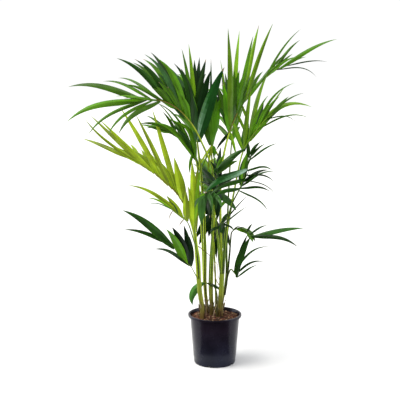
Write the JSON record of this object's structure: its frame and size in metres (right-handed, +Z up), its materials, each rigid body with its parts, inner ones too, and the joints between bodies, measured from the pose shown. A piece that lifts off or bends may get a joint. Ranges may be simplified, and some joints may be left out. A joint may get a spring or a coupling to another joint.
{
  "type": "kentia palm",
  "caption": "Kentia palm in a black nursery pot: sheathed stems rising from bark potting mix and arching pinnate fronds with long narrow leaflets.",
  "frame": {"origin": "centre of the pot's flat underside, on the surface it stands on", "axes": "+Z up, +X to the right and +Y to the back when the plant is seen from the front"},
  "size_m": [1.0079, 0.8155, 1.3237],
  "materials": {
    "pot": "matte black moulded plastic",
    "soil": "loose bark and coir chips",
    "stem": "smooth green sheath with brown dry edges",
    "petiole": "smooth light green",
    "frond": "satin green leaf"
  },
  "bodies": {
    "root": {"pot": "pot", "soil": "soil", "stem_back_left": "stem", "stem_back_right": "stem", "stem_centre": "stem", "stem_front_left": "stem", "stem_right": "stem", "petiole_arching_left": "petiole", "petiole_arching_low_right": "petiole", "petiole_back_centre": "petiole", "petiole_back_left": "petiole", "petiole_back_low": "petiole", "petiole_back_right": "petiole", "petiole_bright_centre": "petiole", "petiole_centre_green": "petiole", "petiole_dark_front": "petiole", "petiole_dark_low_left": "petiole", "petiole_dark_low_right": "petiole", "petiole_drooping_centre": "petiole", "petiole_drooping_left": "petiole", "petiole_hanging_centre": "petiole", "petiole_left_mid": "petiole", "petiole_light_left": "petiole", "petiole_light_low": "petiole", "petiole_right_low": "petiole", "petiole_right_mid": "petiole", "petiole_upright_right": "petiole", "frond_arching_left_inner": "frond", "frond_arching_left_outer": "frond", "frond_arching_low_right": "frond", "frond_back_centre": "frond", "frond_back_left": "frond", "frond_back_low": "frond", "frond_back_right": "frond", "frond_bright_centre": "frond", "frond_centre_green": "frond", "frond_dark_front": "frond", "frond_dark_low_left": "frond", "frond_dark_low_right": "frond", "frond_drooping_centre": "frond", "frond_drooping_left": "frond", "frond_hanging_centre": "frond", "frond_left_mid": "frond", "frond_light_left": "frond", "frond_light_low": "frond", "frond_right_low": "frond", "frond_right_mid": "frond", "frond_upright_right_inner": "frond", "frond_upright_right_outer": "frond"}
  },
  "joints": []
}
